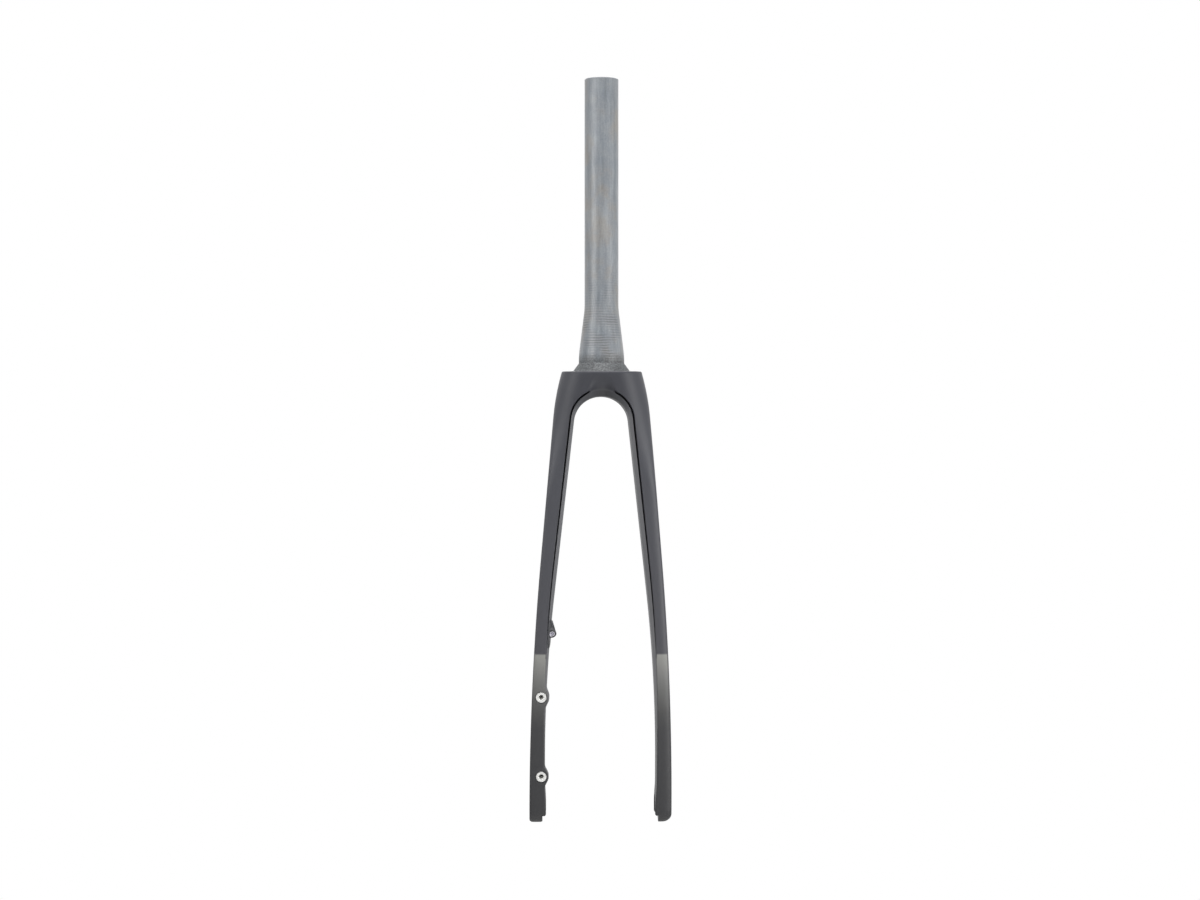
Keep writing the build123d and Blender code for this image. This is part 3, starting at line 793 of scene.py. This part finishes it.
# %% Painted carbon colours
PANEL_TOP, MASK_BLUR = 1 - 239.5 / 387.4, 0.0004
painted, tree, output = new_material("satin_paint_over_carbon")
coordinates = add_node(tree, "ShaderNodeTexCoord").outputs
place = coordinates["Object"]
height = add_node(tree, "ShaderNodeSeparateXYZ", {"Vector": place}).outputs["Z"]
facing = add_node(tree, "ShaderNodeSeparateXYZ", {"Vector": coordinates["Normal"]}).outputs["Y"]
along = add_node(tree, "ShaderNodeMapRange", {"Value": height, "From Min": -0.3874, "From Max": 0.0})
# From about 77 mm below the top both ramps turn darker, darkest over the crown's top 27 mm: painted shade for
# the crown's face that turns under towards the arch.
dark_tone = add_node(
    tree, "ShaderNodeValToRGB", {"Fac": along.outputs[0]},
    stops=[(0.0, "3E3E40"), (0.22, "454548"), (PANEL_TOP, "545459"), (0.8, "525359"), (0.93, "46474D")],
)
panel_tone = add_node(
    tree, "ShaderNodeValToRGB", {"Fac": along.outputs[0]},
    stops=[
        (0.0, "3E3E40"), (0.215, "464648"), (0.25, "535353"), (0.30, "6F6F6E"), (0.325, "7D7D7C"),
        (PANEL_TOP - MASK_BLUR, "9C9C98"), (PANEL_TOP + MASK_BLUR, "545459"),
        (0.8, "525359"), (0.93, "46474D"),
    ],
)
rear = add_node(tree, "ShaderNodeMapRange", {"Value": facing, "From Min": -0.62, "From Max": -0.80})
tone = add_node(
    tree, "ShaderNodeMixRGB",
    {"Fac": rear.outputs[0], "Color1": dark_tone.outputs[0], "Color2": panel_tone.outputs[0]},
).outputs[0]
print("paint line at", round(-387.4 * (1 - PANEL_TOP), 1), "mm")

# %% [markdown]
# Satin paint with a fading panel: its surface
# Satin lacquer has a wide soft highlight, so the eye sees the shape of the blades in broad gradients
# with no sharp mirror image. Fine flake and a slight waviness keep the large faces from looking like
# plain plastic.

# %% Painted carbon material
# Metal flake in the sprayed panel, about 0.7 mm where the real flake is finer than the picture shows.
flake = add_node(tree, "ShaderNodeTexNoise", {"Vector": place, "Scale": 1400.0, "Detail": 2.0})
sparkle = add_node(
    tree, "ShaderNodeMapRange", {"Value": flake.outputs["Fac"], "To Min": 0.90, "To Max": 1.10},
)
tone = add_node(
    tree, "ShaderNodeVectorMath", {0: tone, "Scale": sparkle.outputs[0]}, operation="SCALE",
).outputs[0]
# Orange peel about 2 mm across, the slight waviness of sprayed satin lacquer.
peel = add_node(tree, "ShaderNodeTexNoise", {"Vector": place, "Scale": 500.0, "Detail": 1.0})
relief = add_node(
    tree, "ShaderNodeBump", {"Height": peel.outputs["Fac"], "Strength": 0.05, "Distance": 0.0002},
).outputs["Normal"]
shader = add_node(
    tree, "ShaderNodeBsdfPrincipled",
    {"Base Color": tone, "Roughness": 0.47, "Specular IOR Level": 0.38, "Normal": relief},
)
tree.links.new(shader.outputs["BSDF"], output.inputs["Surface"])
dress([blades], painted)

# %% [markdown]
# Turned aluminium
# The inserts are turned from aluminium and left fine and matt, so they look nearly white beside the
# paint and have a blurred shine. A pure metal would mirror the grey side of the studio; part metal and
# part pale surface stays bright from every side, and a fine grain in the roughness keeps it from
# looking polished.

# %% Insert material
aluminium, tree, output = new_material("turned_aluminium")
place = add_node(tree, "ShaderNodeTexCoord").outputs["Object"]
# Grain of about 1 mm, coarser than the tool's own marks so that it shows.
grain = add_node(tree, "ShaderNodeTexNoise", {"Vector": place, "Scale": 900.0, "Detail": 2.0})
gloss = add_node(tree, "ShaderNodeMapRange", {"Value": grain.outputs["Fac"], "To Min": 0.46, "To Max": 0.56})
shader = add_node(
    tree, "ShaderNodeBsdfPrincipled",
    {"Base Color": linear("FDFDFB"), "Metallic": 0.4, "Roughness": gloss.outputs[0]},
)
tree.links.new(shader.outputs["BSDF"], output.inputs["Surface"])
dress(inserts, aluminium)

# %% [markdown]
# Moulded nylon, and a painted reflection
# The hose guide is a dark nylon moulding with a fine spark-eroded grain, which breaks up its
# highlights, so the eye reads it as dull plastic. The liner is milky and pale, with a faint unevenness
# of tone: painted light, standing in for the bright reflection in the guide's mouth. Both could share
# one material, but their grain and colour come from other tools.

# %% Guide and liner materials
nylon, tree, output = new_material("moulded_nylon")
place = add_node(tree, "ShaderNodeTexCoord").outputs["Object"]
# Spark erosion of about 0.4 mm, coarser than the real grain so that it shows.
erosion = add_node(tree, "ShaderNodeTexNoise", {"Vector": place, "Scale": 2500.0, "Detail": 1.0})
relief = add_node(
    tree, "ShaderNodeBump", {"Height": erosion.outputs["Fac"], "Strength": 0.15, "Distance": 0.0001},
).outputs["Normal"]
shader = add_node(
    tree, "ShaderNodeBsdfPrincipled", {"Base Color": linear("404044"), "Roughness": 0.45, "Normal": relief},
)
tree.links.new(shader.outputs["BSDF"], output.inputs["Surface"])
dress(guides, nylon)

# The liner's pale tone is painted light: a painted reflection for the bright inside of the guide's mouth.
pale, tree, output = new_material("liner_pale_painted_reflection")
place = add_node(tree, "ShaderNodeTexCoord").outputs["Object"]
# Milky patches of about 1.4 mm.
milky = add_node(tree, "ShaderNodeTexNoise", {"Vector": place, "Scale": 700.0, "Detail": 2.0})
milk = add_node(
    tree, "ShaderNodeValToRGB", {"Fac": milky.outputs["Fac"]}, stops=[(0.35, "D2D0DC"), (0.65, "EAE8F0")],
)
shader = add_node(tree, "ShaderNodeBsdfPrincipled", {"Base Color": milk.outputs[0], "Roughness": 0.4})
tree.links.new(shader.outputs["BSDF"], output.inputs["Surface"])
dress([liner], pale)

# %% [markdown]
# Studio floor
# The fork hangs by its steerer in front of white, with a pale floor far below it, under the edge of the
# picture. The floor could be a bright lamp, but that would light the fork from below, so only the
# camera sees most of its white.

# %% Floor
FLOOR, PAPER_GLOW = -1.5, 0.85
WHITE = (1, 1, 1, 1)
floor_corners = np.stack(np.meshgrid([-9.0, 9.0], [-9.0, 5.0], [FLOOR], indexing="ij"), axis=-1)
floor = grid_object("studio_floor", floor_corners.reshape(2, 2, 3), close_rows=False, close_columns=False)
paper_white, tree, output = new_material("pale_studio_paper")
paper = add_node(tree, "ShaderNodeBsdfDiffuse", {"Color": linear("EDEDEB")})
lit = add_node(tree, "ShaderNodeEmission", {"Color": WHITE, "Strength": 1.0})
rays = add_node(tree, "ShaderNodeLightPath").outputs
shown = add_node(tree, "ShaderNodeMath", {0: rays["Is Camera Ray"], 1: PAPER_GLOW}, operation="MULTIPLY")
sheet = add_node(tree, "ShaderNodeMixShader", {0: shown.outputs[0], 1: paper.outputs[0], 2: lit.outputs[0]})
tree.links.new(sheet.outputs[0], output.inputs["Surface"])
dress([floor], paper_white)

# %% [markdown]
# Studio walls
# To the camera the world is plain white on every side. In reflections it is white behind the fork and
# at its sides, and greyer behind the camera, as a studio is: flat faces that look at the camera stay
# dark, and rounded edges catch the white. As light it is dim, so that the lamps shape the fork.

# %% World
WORLD_LIGHT, BEHIND_CAMERA = 0.17, 0.55
world = bpy.data.worlds.new("studio_white")
bpy.context.scene.world = world
world.use_nodes = True
tree = world.node_tree
tree.nodes.clear()
direction = add_node(tree, "ShaderNodeTexCoord").outputs["Generated"]
behind = add_node(tree, "ShaderNodeSeparateXYZ", {"Vector": direction}).outputs["Y"]
white_side = add_node(
    tree, "ShaderNodeMapRange",
    {"Value": behind, "From Min": -0.95, "From Max": -0.25, "To Min": BEHIND_CAMERA, "To Max": 1.0},
)
soft = add_node(tree, "ShaderNodeBackground", {"Color": WHITE, "Strength": WORLD_LIGHT})
plain = add_node(tree, "ShaderNodeBackground", {"Color": WHITE, "Strength": white_side.outputs[0]})
backdrop = add_node(tree, "ShaderNodeBackground", {"Color": WHITE, "Strength": 1.0})
rays = add_node(tree, "ShaderNodeLightPath").outputs
mirrored = add_node(
    tree, "ShaderNodeMixShader", {0: rays["Is Glossy Ray"], 1: soft.outputs[0], 2: plain.outputs[0]},
)
seen = add_node(
    tree, "ShaderNodeMath", {0: rays["Is Camera Ray"], 1: rays["Is Transmission Ray"]}, operation="MAXIMUM",
)
both = add_node(
    tree, "ShaderNodeMixShader", {0: seen.outputs[0], 1: mirrored.outputs[0], 2: backdrop.outputs[0]},
)
add_node(tree, "ShaderNodeOutputWorld", {"Surface": both.outputs[0]})
print(world.name, "light", WORLD_LIGHT)

# %% [markdown]
# Lamps
# Two wide soft boxes stand to the sides of the camera, the right one a little lower, and one hangs
# above for the light line along the crown's top edge. Bare bulbs would draw hard lines on satin paint;
# wide boxes give it broad gradients. A fourth, high on the far side, is there for views of the fork's
# front.

# %% Lamps
def soft_box(name, place, size, power):
    """A square area lamp at place, facing the middle of the fork."""
    lamp = bpy.data.lights.new(name, "AREA")
    lamp.shape = "SQUARE"
    lamp.size = size
    lamp.energy = power
    made = bpy.data.objects.new(name, lamp)
    made.location = place
    made.rotation_euler = (Vector((0, 0, -0.08)) - Vector(place)).to_track_quat("-Z", "Y").to_euler()
    bpy.context.scene.collection.objects.link(made)
    print(name, "of", power, "W")


soft_box("left_box", (-1.7, -1.2, 0.25), size=1.2, power=17.0)
soft_box("right_box", (1.6, -1.2, -0.4), size=1.2, power=24.0)
soft_box("top_box", (0.0, -0.4, 1.7), size=1.0, power=28.0)
soft_box("front_box", (0.0, 2.0, 1.3), size=0.9, power=20.0)

# %% [markdown]
# Camera
# The picture was taken from behind, level with the middle of the fork and about two metres away, a
# little to the rider's left. The lens could be found by trial. Here the focal length follows from the
# width of the fork in pixels, and the shot has no tilt and no shift.

# %% Camera
FOCAL_PIXELS, FRAME_WIDTH = 2364.0, 1200.0
DISTANCE, AZIMUTH, CAMERA_HEIGHT, AIM = 2.0, np.radians(1.3), -0.066, -0.00127
lens = bpy.data.cameras.new("photo_camera")
lens.sensor_fit = "HORIZONTAL"
lens.sensor_width = 36.0
lens.lens = FOCAL_PIXELS / FRAME_WIDTH * lens.sensor_width
camera = bpy.data.objects.new("photo_camera", lens)
camera.location = (AIM - DISTANCE * np.sin(AZIMUTH), -DISTANCE * np.cos(AZIMUTH), CAMERA_HEIGHT)
camera.rotation_euler = (np.pi / 2, 0, -AZIMUTH)
bpy.context.scene.collection.objects.link(camera)
bpy.context.scene.camera = camera
bpy.context.scene.view_settings.view_transform = "Standard"
print("lens", round(lens.lens, 2), "mm")
